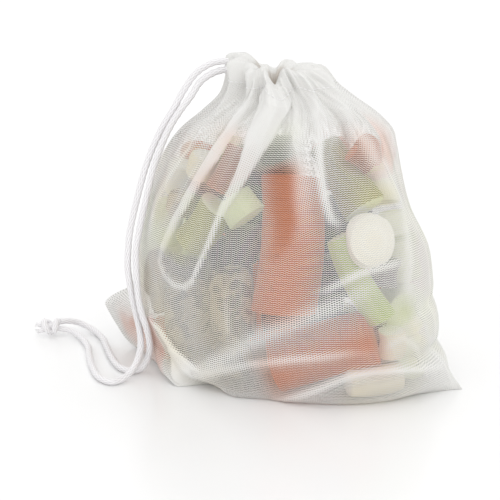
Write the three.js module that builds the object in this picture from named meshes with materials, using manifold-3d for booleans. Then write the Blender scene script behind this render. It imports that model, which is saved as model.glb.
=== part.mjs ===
// Mesh bag: a flat, square-cornered net bag about 200 mm wide, filled with cut vegetables and
// gathered at the neck on a drawstring. +Z is up, the side that faces the reader is -Y, and
// u runs once round the cloth: 0 right seam, 0.25 front middle, 0.5 left seam, 0.75 back.
import * as THREE from 'three';
import { mergeVertices } from 'three/addons/utils/BufferGeometryUtils.js';
import Module from 'manifold-3d';

const wasm = await Module();
wasm.setup();

// ---- driving sizes, mm
const SHOULDER_Z = 134;        // below this the level lines are flat
const RIM_Z = 156;             // mean height of the gathered rim
const CORD_D = 3.5;            // braided drawstring
const GAP = 0.3;               // clear air between neighbouring pieces
const AROUND = 108;            // steps round the cloth
const SIDES = 8;               // sides of a strand's section
const STRAND_STEPS = { a: 56, b: 54 };
const SEAT_STEPS = 10;
const CENTRE = { x: 1.1, y: -1 }; // middle of the bag's own box, brought to the origin
const KNOT = { x: -123.8, y: 48.7, z: 5.6, r: 4.6 };
// where the two cut tails end, and how thick they are there
const TAILS = [[[-131.2, 49.6, 6.4], 1.5], [[-130.4, 46.4, 3.6], 1.4]];

// ---- level lines of the loaded bag: z, centre x, centre y, half length, half depth, turn (deg)
const LEVELS = [
  [0, 9, -1, 70, 46, -20],
  [4, 9.5, -1, 75, 49, -21],
  [12, 9, 0, 77.5, 50.5, -22],
  [22, 7.5, 0, 78, 51, -22],
  [36, 5.5, 0, 78, 51, -21],
  [52, 4.5, 0, 77, 50, -20],
  [70, 4, 0, 74, 48, -18],
  [90, 1.5, 0, 66, 44, -15],
  [106, 2, 0, 59.5, 40, -12],
  [118, 4, 0, 54.5, 36.5, -10],
  [126, 6, 0, 49.5, 33, -8],
  [134, 7, 0, 40, 29, -6],
  [141, 6.5, 0, 31, 25, -3],
  [148, 3.5, 0, 25, 22, 0],
  [156, 0.5, 0, 21.5, 20, 0],
];
const TOP = LEVELS.length - 1;
const SQUARENESS = 2.25;       // 2 is a plain ellipse
const PLEAT_DEPTH = 1.55;      // scales every pleat height below
const PLEAT_MEAN = 3.3;        // how far the cloth between the pleats sinks in at the neck
// height of the rim at every 45 degrees, counter-clockwise from +X
const RIM = [156, 158, 150, 156, 161.5, 155, 148.5, 151];

// corners of the flat bag that stand out from the load
const LEFT_EAR = { u: 0.5, wide: 0.085, tip: 22, up: 16, dx: -26.2, dy: 9.6 };
const RIGHT_EAR = { u: 0, wide: 0.07, up: 11, dx: 17.7, dy: -6.3 };
const FRONT_CORNER = { u: 0.365, wide: 0.038, up: 15, dx: -3, dy: -11.5 };

// pleats that run down from the neck: each row is level, u, and the pleat's height there
const PLEATS = [
  { wide: 0.026, line: [
    [14, 0.275, 5], [12.3, 0.275, 7], [9.9, 0.283, 5.5],
    [7.7, 0.293, 3.2], [6.6, 0.302, 2], [5, 0.32, 0]] },
  { wide: 0.019, line: [
    [14, 0.34, 4.5], [11.2, 0.342, 4.5], [8.5, 0.33, 3],
    [7, 0.342, 2], [5.5, 0.37, 0]] },
  { wide: 0.019, line: [
    [14, 0.42, 5], [12.2, 0.41, 5], [9.1, 0.365, 3],
    [7.2, 0.38, 2], [5.8, 0.395, 0]] },
  { wide: 0.021, line: [[14, 0.5, 3.2], [11, 0.495, 3.5], [8, 0.48, 2], [5.5, 0.46, 0]] },
  { wide: 0.021, line: [[14, 0.575, 4.5], [11, 0.57, 4], [8, 0.56, 2.5], [6, 0.55, 0]] },
  { wide: 0.021, line: [[14, 0.655, 5], [11, 0.655, 4.5], [8, 0.65, 2.5], [5.5, 0.65, 0]] },
  { wide: 0.021, line: [[14, 0.735, 5], [11, 0.735, 4.5], [8, 0.735, 3], [5, 0.735, 0]] },
  { wide: 0.021, line: [[14, 0.815, 5], [11, 0.815, 4.5], [8, 0.82, 2.5], [5.5, 0.825, 0]] },
  { wide: 0.021, line: [[14, 0.895, 4.5], [11, 0.9, 4], [8, 0.91, 2.5], [6, 0.92, 0]] },
  { wide: 0.021, line: [[14, 0.972, 4], [11, 0.975, 4], [8, 0.985, 2], [6.4, 0.99, 0]] },
  { wide: 0.022, line: [
    [14, 0.06, 4.5], [11.6, 0.1, 5], [8.75, 0.095, 3.2],
    [7.5, 0.06, 2.2], [6, 0.02, 0]] },
  { wide: 0.02, line: [
    [14, 0.165, 5], [12, 0.178, 5], [9.3, 0.19, 3.5],
    [7.6, 0.175, 2.2], [6.6, 0.15, 0]] },
];
// pulled folds that run across: each row is u, level, and the fold's height there
const PULLS = [
  { tall: 0.44, line: [
    [0.08, 5.9, 0], [0.11, 5.55, 1.3], [0.16, 4.7, 1.85], [0.208, 4, 2],
    [0.245, 3.35, 2], [0.292, 2.35, 1.85], [0.36, 0.9, 1.2]] },
  { tall: 0.38, line: [
    [0.13, 3.5, 0], [0.17, 3.35, 1.2], [0.21, 3.05, 1.6],
    [0.253, 2.35, 1.6], [0.31, 1.3, 1.2], [0.36, 0.5, 0.6]] },
  { tall: 0.48, line: [
    [0.318, 1.5, 1.2], [0.333, 2.05, 2], [0.348, 2.65, 2.2],
    [0.367, 3.35, 2], [0.4, 3.95, 0]] },
  { tall: 0.4, line: [
    [0.05, 2.4, 0], [0.062, 2.4, 1.6], [0.103, 2.65, 2.6], [0.13, 2.65, 2.6],
    [0.158, 2.3, 2.4], [0.19, 1.5, 2], [0.225, 0.2, 1]] },
];
// swellings where the load pushes the net out: u, z, half width in u, half height, push
const LOBES = [
  [0.01, 10, 0.11, 6, 6],
  [0, 33, 0.12, 8, 1.5],
  [0, 21, 0.12, 3.5, -3.2],
  [0, 44, 0.1, 4, -2],
  [0.275, 0, 0.03, 6, 3],
  [0.335, 0, 0.05, 5, -8],
];

// ---- helpers
const rad = THREE.MathUtils.degToRad;
const clamp01 = (x) => Math.min(1, Math.max(0, x));
const spline = (a, b, c, d, f) =>
  0.5 * (2 * b + (c - a) * f + (2 * a - 5 * b + 4 * c - d) * f * f + (3 * b - a - 3 * c + d) * f ** 3);
const apart = (u, v) => Math.abs(((((u - v + 0.5) % 1) + 1) % 1) - 0.5);
const near = (u, v, wide) => clamp01(1 - apart(u, v) / wide);
const bell = (x, s) => Math.exp(-((x / s) ** 2));

function levelAt(t) {
  const i = Math.min(TOP - 1, Math.max(0, Math.floor(t)));
  const f = t - i;
  const row = (k) => LEVELS[Math.min(TOP, Math.max(0, k))];
  return LEVELS[i].map((_, c) => spline(row(i - 1)[c], row(i)[c], row(i + 1)[c], row(i + 2)[c], f));
}

function rimAt(turn) {
  const n = RIM.length;
  const t = (((turn % 1) + 1) % 1) * n;
  const i = Math.floor(t);
  const at = (k) => RIM[((k % n) + n) % n];
  return spline(at(i - 1), at(i), at(i + 1), at(i + 2), t - i);
}

// straight runs between the rows of a line, sorted on its first column either way
function along(line, x) {
  const rows = line[0][0] < line[line.length - 1][0] ? line : [...line].reverse();
  if (x <= rows[0][0] || x >= rows[rows.length - 1][0]) {
    return { at: 0, push: 0 };
  }
  let k = 0;
  while (rows[k + 1][0] < x) k += 1;
  const f = (x - rows[k][0]) / (rows[k + 1][0] - rows[k][0]);
  const mix = (c) => rows[k][c] + f * (rows[k + 1][c] - rows[k][c]);
  return { at: mix(1), push: mix(2) };
}

// ---- the cloth: one point of the loaded bag's outside
function cloth(u, t) {
  const [zl, cx, cy, a, b, turn] = levelAt(t);
  const psi = -2 * Math.PI * u;
  const c = Math.cos(psi);
  const s = Math.sin(psi);
  const k = (Math.abs(c) ** SQUARENESS + Math.abs(s) ** SQUARENESS) ** (-1 / SQUARENESS);
  const ex = a * c * k;
  const ey = b * s * k;
  const ca = Math.cos(rad(turn));
  const sa = Math.sin(rad(turn));
  let x = cx + ex * ca - ey * sa;
  let y = cy + ex * sa + ey * ca;
  const reach = Math.hypot(x - cx, y - cy);
  const ox = (x - cx) / reach;
  const oy = (y - cy) / reach;
  let z = zl;
  if (zl > SHOULDER_Z) {
    const up = clamp01((zl - SHOULDER_Z) / (RIM_Z - SHOULDER_Z));
    z = SHOULDER_Z + up * (rimAt(Math.atan2(oy, ox) / (2 * Math.PI)) - SHOULDER_Z);
  }

  let push = 0;
  for (const [lu, lz, wide, tall, by] of LOBES) push += by * near(u, lu, wide) * bell(zl - lz, tall);
  for (const p of PLEATS) {
    const g = t >= TOP ? { at: p.line[0][1], push: p.line[0][2] } : along(p.line, t);
    if (g.push) push += PLEAT_DEPTH * g.push * bell(apart(u, g.at), p.wide);
  }
  push -= PLEAT_MEAN * clamp01((t - 6) / 6);
  for (const p of PULLS) {
    const g = along(p.line, u);
    if (g.push) push += g.push * bell(t - g.at, p.tall) * clamp01((t + 0.25) / 0.5);
  }
  x += push * ox;
  y += push * oy;

  const e = LEFT_EAR;
  const above = clamp01(1 - (Math.max(0, zl - e.tip) / e.up) ** 1.5);
  const below = 1 - 0.35 * (Math.max(0, e.tip - zl) / e.tip) ** 1.3;
  const rise = above * below;
  const left = near(u, e.u, e.wide) ** 1.5 * rise;
  const right = near(u, RIGHT_EAR.u, RIGHT_EAR.wide) ** 1.6 * clamp01(1 - zl / RIGHT_EAR.up) ** 1.6;
  const front = near(u, FRONT_CORNER.u, FRONT_CORNER.wide) ** 1.2 * clamp01(1 - zl / FRONT_CORNER.up);
  x += left * e.dx + right * RIGHT_EAR.dx + front * FRONT_CORNER.dx;
  y += left * e.dy + right * RIGHT_EAR.dy + front * FRONT_CORNER.dy;
  return [x, y, z];
}

// ---- steps: closer together at the two seams and at the folds
function stepsRound() {
  const fine = (u) => 1 + 1.3 * near(u, 0, 0.06) + 1.3 * near(u, 0.5, 0.07) + 0.5 * near(u, 0.28, 0.2);
  const n = 2000;
  const sum = [0];
  for (let i = 0; i < n; i += 1) sum.push(sum[i] + fine((i + 0.5) / n));
  const us = [];
  let k = 0;
  for (let j = 0; j < AROUND; j += 1) {
    const want = (sum[n] * j) / AROUND;
    while (sum[k + 1] <= want) k += 1;
    us.push((k + (want - sum[k]) / (sum[k + 1] - sum[k])) / n);
  }
  return us;
}
const steps = (from, to, n) => Array.from({ length: n }, (_, i) => from + ((to - from) * i) / n);

function bagBody() {
  const us = stepsRound();
  const ts = [...steps(0, 3.6, 12), ...steps(3.6, 8, 11), ...steps(8, TOP, 14), TOP];
  const rings = ts.map((t) => us.map((u) => cloth(u, t)));
  const rim = rings[rings.length - 1];
  // the rim turns in and the gathers close round a shallow mouth
  const mouth = { x: -1, y: -4, z: 141 };
  const inward = (keep, lift, sink) => rim.map(([x, y, z]) => [
    mouth.x + (x - mouth.x) * keep, mouth.y + (y - mouth.y) * keep, z + lift + (mouth.z - z) * sink]);
  rings.push(inward(0.9, 1.6, 0), inward(0.76, 1.2, 0.05), inward(0.52, 0, 0.45), inward(0.26, 0, 0.8));
  // the flat underside
  const foot = rings[0];
  const under = { x: 9, y: -1 };
  const inFoot = (keep) => foot.map(([x, y]) =>
    [under.x + (x - under.x) * keep, under.y + (y - under.y) * keep, 0]);
  rings.unshift(inFoot(0.45), inFoot(0.8));

  const pos = [];
  rings.forEach((ring) => ring.forEach((p) => pos.push(...p)));
  const low = pos.length / 3;
  pos.push(under.x, under.y, 0);
  const high = low + 1;
  pos.push(mouth.x, mouth.y, mouth.z);
  const n = AROUND;
  const index = [];
  for (let r = 0; r < rings.length - 1; r += 1) {
    for (let j = 0; j < n; j += 1) {
      const a = r * n + j;
      const b = r * n + ((j + 1) % n);
      index.push(a, a + n, b, b, a + n, b + n);
    }
  }
  const last = (rings.length - 1) * n;
  for (let j = 0; j < n; j += 1) {
    const k = (j + 1) % n;
    index.push(low, j, k);
    index.push(high, last + k, last + j);
  }
  const g = new THREE.BufferGeometry();
  g.setAttribute('position', new THREE.Float32BufferAttribute(pos, 3));
  g.setIndex(index);
  return g;
}

// ---- drawstring: two strands side by side from the casing, down the left side, and out
// over the table to the knot that ties their ends
const STRAND_A = [
  [-23.4, 0, 158.6], [-30.5, -0.3, 157.7], [-38.3, -1, 152.9], [-44.8, -2, 144.2], [-49.3, -3, 136.1],
  [-54.8, -4, 127.3], [-59.9, -5, 117.1], [-64, -6, 106.2], [-67.1, -7.5, 95.4], [-69.8, -8.5, 84.9],
  [-71.9, -9.5, 75.4], [-73, -10.5, 65.8], [-73.3, -11, 56.1], [-71.6, -11, 42.4], [-69.8, -10, 32.1],
  [-68.1, -10, 21.9], [-68.1, -11, 13.6], [-69.8, -13, 7.4], [-71.3, -16.5, 5.2], [-73.4, -19.6, 3.3],
  [-77.2, -24, 1.95], [-81.4, -26.6, 1.85], [-87.8, -21.2, 1.85], [-93.2, -7, 1.85], [-97.2, 10, 1.85],
  [-99.6, 24, 1.85], [-103.6, 35.5, 1.9], [-109.2, 45.4, 2.6], [-114.3, 48.6, 3.6], [-118.6, 48.8, 4.2],
];
const STRAND_B = [
  [-23.4, 0, 154.5], [-29.2, -0.5, 153.2], [-35.9, -1.5, 149.1], [-41.2, -4, 141.5], [-46, -5.9, 135.4],
  [-51.5, -7.2, 126.8], [-56, -8.2, 117], [-59.7, -8.8, 106.6], [-62.4, -9.6, 95.8], [-65, -10.4, 85.3],
  [-67.1, -11, 75.8], [-68.8, -12.5, 66.4], [-68.9, -13.5, 57], [-68.2, -14.5, 43.6], [-66.5, -14.5, 33.6],
  [-64.2, -13.5, 24.8], [-63.2, -11, 15.3], [-64.5, -9, 8], [-67.8, -9.5, 2.6], [-72.6, -11.2, 1.85],
  [-78.7, -7, 1.85], [-85, 7.9, 1.85], [-89.8, 25, 1.85], [-94.8, 42, 1.85], [-103.3, 55.5, 2.7],
  [-110.2, 57.2, 5.2], [-115.2, 53.8, 7.2], [-119, 51.4, 7.6],
];

function strand(points, d, count) {
  const path = new THREE.CatmullRomCurve3(points.map((p) => new THREE.Vector3(...p)), false, 'centripetal');
  path.arcLengthDivisions = 800;
  const ring = new THREE.Shape();
  for (let i = 0; i < SIDES; i += 1) {
    const a = (i / SIDES) * 2 * Math.PI;
    if (i) ring.lineTo(Math.cos(a) * (d / 2), Math.sin(a) * (d / 2));
    else ring.moveTo(d / 2, 0);
  }
  ring.closePath();
  return new THREE.ExtrudeGeometry(ring, { steps: count, bevelEnabled: false, extrudePath: path });
}

// ---- the knot: the two strand ends turned round each other, with short cut tails
function solid(g) {
  g.deleteAttribute('normal');
  g.deleteAttribute('uv');
  const m = mergeVertices(g, 1e-4);
  return new wasm.Manifold(new wasm.Mesh({
    numProp: 3,
    vertProperties: new Float32Array(m.attributes.position.array),
    triVerts: new Uint32Array(m.index.array),
  }));
}
function fromSolid(s) {
  const m = s.getMesh();
  const g = new THREE.BufferGeometry();
  g.setAttribute('position', new THREE.Float32BufferAttribute(Array.from(m.vertProperties), 3));
  g.setIndex(Array.from(m.triVerts));
  return g;
}

function knotBody() {
  const { x, y, z, r } = KNOT;
  const core = new THREE.SphereGeometry(r, 12, 8).scale(1.15, 0.9, 0.9).translate(x, y, z);
  const wrap = (tilt, spin, dx) => new THREE.TorusGeometry(r - 1.3, CORD_D / 2, 7, 12)
    .rotateY(Math.PI / 2 + rad(tilt)).rotateZ(rad(spin)).translate(x + dx, y, z);
  let s = solid(core).add(solid(wrap(18, 8, 1.8))).add(solid(wrap(-22, -12, -2)));
  for (const [to, endRadius] of TAILS) {
    const a = new THREE.Vector3(x, y, z);
    const b = new THREE.Vector3(...to);
    const tail = new THREE.CylinderGeometry(endRadius, CORD_D / 2, a.distanceTo(b), 8);
    tail.translate(0, a.distanceTo(b) / 2, 0);
    tail.applyQuaternion(new THREE.Quaternion().setFromUnitVectors(
      new THREE.Vector3(0, 1, 0), b.clone().sub(a).normalize()));
    tail.translate(x, y, z);
    s = s.add(solid(tail));
  }
  for (const line of [STRAND_A, STRAND_B]) {
    // the seat of a strand's end runs a little past it, and is a gap wider all round
    const [p, q] = line.slice(-2).map((v) => new THREE.Vector3(...v));
    const past = q.clone().add(q.clone().sub(p).normalize().multiplyScalar(2 * GAP)).toArray();
    s = s.subtract(solid(strand([...line.slice(-3), past], CORD_D + 2.4 * GAP, SEAT_STEPS)));
  }
  return fromSolid(s);
}

// ---- the part
const group = new THREE.Group();
group.name = 'mesh_bag';
const white = (hex) => new THREE.MeshStandardMaterial({ color: hex, roughness: 0.9 });
function put(name, geometry, colour) {
  const g = geometry.index ? geometry.toNonIndexed() : geometry;
  g.translate(-CENTRE.x, -CENTRE.y, 0);
  g.computeVertexNormals();
  const mesh = new THREE.Mesh(g, white(colour));
  mesh.name = name;
  group.add(mesh);
}
put('net_bag', bagBody(), 0xeeeae0);
put('cord_a', strand(STRAND_A, CORD_D, STRAND_STEPS.a), 0xf4f3f0);
put('cord_b', strand(STRAND_B, CORD_D, STRAND_STEPS.b), 0xf4f3f0);
put('knot', knotBody(), 0xf4f3f0);

export default group;
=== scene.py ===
"""A small net bag filled with cut vegetables, gathered at the neck on a braided drawstring."""

import math

import bpy
import numpy as np
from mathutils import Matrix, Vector
from mathutils.bvhtree import BVHTree


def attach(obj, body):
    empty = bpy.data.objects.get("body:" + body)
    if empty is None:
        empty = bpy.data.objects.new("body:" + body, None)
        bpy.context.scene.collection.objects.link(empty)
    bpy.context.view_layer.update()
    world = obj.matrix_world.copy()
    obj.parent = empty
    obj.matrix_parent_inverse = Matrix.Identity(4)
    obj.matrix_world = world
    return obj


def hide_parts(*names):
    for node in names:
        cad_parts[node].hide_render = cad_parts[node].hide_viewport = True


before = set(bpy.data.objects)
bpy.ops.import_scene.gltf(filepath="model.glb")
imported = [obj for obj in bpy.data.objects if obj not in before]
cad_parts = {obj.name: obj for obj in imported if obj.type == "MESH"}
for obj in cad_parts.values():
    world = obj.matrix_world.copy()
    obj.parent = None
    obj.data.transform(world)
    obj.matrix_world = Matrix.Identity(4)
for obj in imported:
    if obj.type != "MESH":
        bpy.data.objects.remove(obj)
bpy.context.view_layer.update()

# ---- camera
# A short portrait lens a little higher than the bag, looking down on it by 15 degrees.
LENS, SENSOR = 85, 36
LOOKED_AT = Vector((-0.0131, -0.010, 0.066))
AWAY, RISE = 0.590, math.radians(15)

scene = bpy.context.scene
camera = bpy.data.objects.new("camera", bpy.data.cameras.new("camera"))
camera.data.lens = LENS
camera.data.sensor_width = SENSOR
camera.location = LOOKED_AT + AWAY * Vector((0, -math.cos(RISE), math.sin(RISE)))
camera.rotation_euler = (math.pi / 2 - RISE, 0, 0)
scene.collection.objects.link(camera)
scene.camera = camera

# ---- drawstring
# One braided polyester cord runs round inside the casing. Its two ends leave the casing side by side
# at the left, fall down the side of the bag and lie on the table up to the knot.
MM = 0.001
MIDDLE = np.array((1.1, -1.0, 0.0)) * MM   # the routes are drawn about this point, as in the part's source
CORD_D = 0.0035
# in millimetres, from the casing to the knot
ROUTE_A = np.array([
    (-23.4, 0, 158.6), (-30.5, -0.3, 157.7), (-38.3, -1, 152.9), (-44.8, -2, 144.2), (-49.3, -3, 136.1),
    (-54.8, -4, 127.3), (-59.9, -5, 117.1), (-64, -6, 106.2), (-67.1, -7.5, 95.4), (-69.8, -8.5, 84.9),
    (-71.9, -9.5, 75.4), (-73, -10.5, 65.8), (-73.3, -11, 56.1), (-71.6, -11, 42.4), (-69.8, -10, 32.1),
    (-68.1, -10, 21.9), (-68.1, -11, 13.6), (-69.8, -13, 7.4), (-71.3, -16.5, 5.2), (-73.4, -19.6, 3.3),
    (-77.2, -24, 1.95), (-81.4, -26.6, 1.85), (-87.8, -21.2, 1.85), (-93.2, -7, 1.85),
    (-97.2, 10, 1.85), (-99.6, 24, 1.85), (-103.6, 35.5, 1.9), (-109.2, 45.4, 2.6), (-114.3, 48.6, 3.6),
    (-118.6, 48.8, 4.2),
]) / 1000
ROUTE_B = np.array([
    (-23.4, 0, 154.5), (-29.2, -0.5, 153.2), (-35.9, -1.5, 149.1), (-41.2, -4, 141.5),
    (-46, -5.9, 135.4), (-51.5, -7.2, 126.8), (-56, -8.2, 117), (-59.7, -8.8, 106.6),
    (-62.4, -9.6, 95.8), (-65, -10.4, 85.3), (-67.1, -11, 75.8), (-68.8, -12.5, 66.4),
    (-68.9, -13.5, 57), (-68.2, -14.5, 43.6), (-66.5, -14.5, 33.6), (-64.2, -13.5, 24.8),
    (-63.2, -11, 15.3), (-64.5, -9, 8), (-67.8, -9.5, 2.6), (-72.6, -11.2, 1.85), (-78.7, -7, 1.85),
    (-85, 7.9, 1.85), (-89.8, 25, 1.85), (-94.8, 42, 1.85), (-103.3, 55.5, 2.7), (-110.2, 57.2, 5.2),
    (-115.2, 53.8, 7.2), (-119, 51.4, 7.6),
]) / 1000
YARNS = 8              # in each direction round the braid
PICK = 0.0019          # length of cord in which a yarn passes one that crosses it
RELIEF = 0.00032       # from a yarn's crown to the hollow between yarns
OVER, UNDER = 0.62, 0.38   # how far the yarn on top and the yarn below it shape the crown
CORD_SIDES, CORD_STEP = 32, 0.00036
INTO_CASING, DROP_INSIDE = 0.004, 0.0006   # how far each strand runs on inside the casing, and down


def gone_along(line):
    """How far each point of a line is from its start, along the line."""
    return np.concatenate([[0], np.cumsum(np.linalg.norm(np.diff(line, axis=0), axis=1))])


def round_faces(rows, n):
    """The four-sided faces between rings of n points each, one ring after another."""
    return [(r * n + j, r * n + (j + 1) % n, (r + 1) * n + (j + 1) % n, (r + 1) * n + j)
            for r in range(rows - 1) for j in range(n)]


def smooth_route(points, step):
    """Evenly spaced points on the centripetal curve through the route's points."""
    p = np.array(points, float)
    p = np.vstack([2 * p[0] - p[1], p, 2 * p[-1] - p[-2]])
    knots = np.concatenate([[0], np.cumsum(np.sqrt(np.linalg.norm(np.diff(p, axis=0), axis=1)))])
    fine = []
    for i in range(1, len(p) - 2):
        t = np.linspace(knots[i], knots[i + 1], 30, endpoint=False)[:, None]
        lap = lambda a, b, pa, pb: (knots[b] - t) / (knots[b] - knots[a]) * pa + (
            t - knots[a]) / (knots[b] - knots[a]) * pb
        a1, a2, a3 = (lap(k, k + 1, p[k], p[k + 1]) for k in (i - 1, i, i + 1))
        b1, b2 = lap(i - 1, i + 1, a1, a2), lap(i, i + 2, a2, a3)
        fine.append(lap(i, i + 1, b1, b2))
    fine = np.vstack(fine + [p[-2][None]])
    gone = gone_along(fine)
    even = np.linspace(0, gone[-1], max(2, round(gone[-1] / step)))
    return np.stack([np.interp(even, gone, fine[:, k]) for k in range(3)], 1)


def carried_frames(line):
    """Two directions across a line at each of its points, carried along it without twist."""
    ahead = np.gradient(line, axis=0)
    ahead /= np.linalg.norm(ahead, axis=1)[:, None]
    side = np.cross(ahead[0], (0.3, 0.9, 0.2))
    sides = []
    for d in ahead:
        side = side - d * (side @ d)
        side /= np.linalg.norm(side)
        sides.append(side)
    sides = np.array(sides)
    return sides, np.cross(ahead, sides)


def braided_tube(line, radius, ends=(1.0, 1.0)):
    """Points, faces and the depth of each point in the braid, for a cord laid along line."""
    gone = gone_along(line)[:, None]
    turn = np.linspace(0, 1, CORD_SIDES, endpoint=False)[None]
    one, other = turn * YARNS + gone / PICK / 2, turn * YARNS - gone / PICK / 2
    over = (np.floor(one) + np.floor(other)) % 2 < 1
    crown_one, crown_other = np.sin(np.pi * (one % 1)), np.sin(np.pi * (other % 1))
    crown = np.where(over, OVER * crown_one + UNDER * crown_other, OVER * crown_other + UNDER * crown_one)
    sides, ups = carried_frames(line)
    reach = radius - RELIEF * (1 - crown)
    near_end = np.minimum(gone[:, 0], gone[-1, 0] - gone[:, 0])
    first = gone[:, 0] < gone[-1, 0] / 2
    tight = np.where(first, ends[0], ends[1])
    taper = np.clip(tight + (1 - tight) * near_end / radius, 0, 1)
    reach = reach * taper[:, None]
    angle = 2 * np.pi * turn
    points = line[:, None] + reach[..., None] * (
        np.cos(angle)[..., None] * sides[:, None] + np.sin(angle)[..., None] * ups[:, None])
    rows, n = len(line), CORD_SIDES
    points = np.concatenate([points.reshape(-1, 3), line[:1], line[-1:]])
    faces = round_faces(rows, n)
    faces += [(rows * n, (j + 1) % n, j) for j in range(n)]
    faces += [(rows * n + 1, (rows - 1) * n + j, (rows - 1) * n + (j + 1) % n) for j in range(n)]
    return points, faces, np.concatenate([crown.ravel(), [0.5, 0.5]])


def mesh_piece(name, points, faces, material, **values):
    """A smooth-shaded object from points and faces, with one number at each point for each value named."""
    mesh = bpy.data.meshes.new(name)
    mesh.from_pydata([tuple(p) for p in np.asarray(points, float)], [], faces)
    for key, numbers in values.items():
        layer = mesh.attributes.new(key, "FLOAT", "POINT")
        layer.data.foreach_set("value", np.asarray(numbers, np.float32))
    mesh.shade_smooth()
    mesh.materials.append(material)
    piece = bpy.data.objects.new(name, mesh)
    scene.collection.objects.link(piece)
    return piece


def joined(parts):
    """One set of points and faces from several, with their values one after another."""
    points, faces, values, first = [], [], [], 0
    for p, f, *v in parts:
        points.append(p)
        faces += [tuple(first + k for k in face) for face in f]
        values.append(v)
        first += len(p)
    return [np.vstack(points), faces, *[np.concatenate(v) for v in zip(*values)]]


def add(tree, kind, inputs=(), **settings):
    """A node, with its settings, and its inputs given as values or as sockets to link from."""
    node = tree.nodes.new("ShaderNode" + kind)
    for key, value in settings.items():
        setattr(node, key, value)
    for key, value in dict(inputs).items():
        if isinstance(value, bpy.types.NodeSocket):
            tree.links.new(value, node.inputs[key])
        else:
            node.inputs[key].default_value = value
    return node


def math_of(tree, operation, *values):
    """The result socket of a math node on sockets or numbers."""
    return add(tree, "Math", enumerate(values), operation=operation).outputs[0]


def value_at(tree, name):
    """The number that a mesh holds under a name at each of its points."""
    return add(tree, "Attribute", attribute_name=name).outputs["Fac"]


def noise(tree, place, scale, detail, roughness=0.5):
    return add(tree, "TexNoise", {"Vector": place, "Scale": scale, "Detail": detail,
                                  "Roughness": roughness}).outputs["Fac"]


def ranged(tree, value, low, high, to_low=0, to_high=1):
    """A number taken from one range to another, and kept within it."""
    return add(tree, "MapRange", {0: value, 1: low, 2: high, 3: to_low, 4: to_high}).outputs[0]


def mixed(tree, share, one, other):
    """A colour between two colours, by share."""
    node = add(tree, "Mix", {"Factor": share}, data_type="RGBA")
    for socket, value in ((node.inputs[6], one), (node.inputs[7], other)):
        if isinstance(value, bpy.types.NodeSocket):
            tree.links.new(value, socket)
        else:
            socket.default_value = (*value, 1)
    return node.outputs[2]


def new_material(name, roughness, sheen=0, specular=0.5):
    """A material with a plain Principled BSDF, its tree and that shader."""
    material = bpy.data.materials.new(name)
    material.use_nodes = True
    shader = material.node_tree.nodes["Principled BSDF"]
    for key, value in (("Roughness", roughness), ("Sheen Weight", sheen), ("Specular IOR Level", specular)):
        shader.inputs[key].default_value = value
    return material, material.node_tree, shader


def dressed(tree, shader, colour, height, strength, distance):
    """Gives a finish its colour and its bump."""
    bump = add(tree, "Bump", {"Height": height, "Strength": strength, "Distance": distance})
    tree.links.new(colour, shader.inputs["Base Color"])
    tree.links.new(bump.outputs[0], shader.inputs["Normal"])


cord_finish, tree, shader = new_material("braided_polyester", 0.72, 0.25, 0.3)
crown = value_at(tree, "crown")
place = add(tree, "TexCoord").outputs["Object"]
fibres = noise(tree, place, 2600, 3)
soft = noise(tree, place, 60, 2)
white = mixed(tree, soft, (0.88, 0.87, 0.88), (0.93, 0.92, 0.93))
# painted shade: the hollows between the yarns are painted darker than the crowns
lit = ranged(tree, crown, 0.25, 0.8)
dressed(tree, shader, mixed(tree, lit, (0.66, 0.64, 0.65), white), fibres, 0.35, 0.0002)

strands = {}
for name, route in (("drawstring_a", ROUTE_A), ("drawstring_b", ROUTE_B)):
    inner = (route[0][0] + INTO_CASING, route[0][1], route[0][2] - DROP_INSIDE)
    line = smooth_route([inner, *route], CORD_STEP) - MIDDLE
    points, faces, crowns = braided_tube(line, CORD_D / 2)
    strands[name] = mesh_piece(name, points, faces, cord_finish, crown=crowns)

# ---- knot
# Both strand ends are tied together in one tight overhand knot. It is made here as two turns of cord
# round the pair, with two short cut tails whose yarns have begun to fray.
KNOT = np.array((-0.1238, 0.0487, 0.0056))
TURN_RADIUS = 0.0032
TAILS = [(-0.1312, 0.0496, 0.0064), (-0.1304, 0.0464, 0.0036)]
FRAY, HAIRS, HAIR_HALF = 0.0022, 26, 0.00012   # length, number and half thickness of the loose yarn ends
TABLE_GAP = 0.0002     # the knot's lowest point over the table


def turned(start, end, tilt, shift):
    """A turn of cord round the knot's own length, between two angles in degrees, leaning by tilt."""
    a = np.radians(np.linspace(start, end, 14))
    lean = math.radians(tilt)
    across = np.stack([0 * a, np.cos(a), np.sin(a)], 1) * TURN_RADIUS
    slip = np.linspace(-0.0009, 0.0009, 14) + shift
    x = slip + across[:, 2] * math.sin(lean)
    return [tuple(p) for p in KNOT + np.stack([x, across[:, 1], across[:, 2] * math.cos(lean)], 1)]


def frayed(tip, ahead, rng):
    """Loose yarn ends that stand out of a cut tail, as thin tapered hairs."""
    parts = []
    ahead = ahead / np.linalg.norm(ahead)
    for _ in range(HAIRS):
        out = rng.normal(size=3)
        out -= ahead * (out @ ahead)
        root = tip + out / np.linalg.norm(out) * CORD_D * 0.36 * rng.uniform(0.2, 1)
        way = ahead * FRAY * rng.uniform(0.5, 1) + out * 0.0006
        side = np.cross(way, (0.2, 0.5, 0.9))
        side = side / np.linalg.norm(side) * HAIR_HALF
        up = np.cross(way, side)
        up = up / np.linalg.norm(up) * HAIR_HALF
        back = root - way * 0.3
        points = np.array([back + side, back + up, back - side, back - up, root + way])
        parts.append((points, [(0, 1, 4), (1, 2, 4), (2, 3, 4), (3, 0, 4), (3, 2, 1, 0)], np.ones(5)))
    return parts


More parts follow.
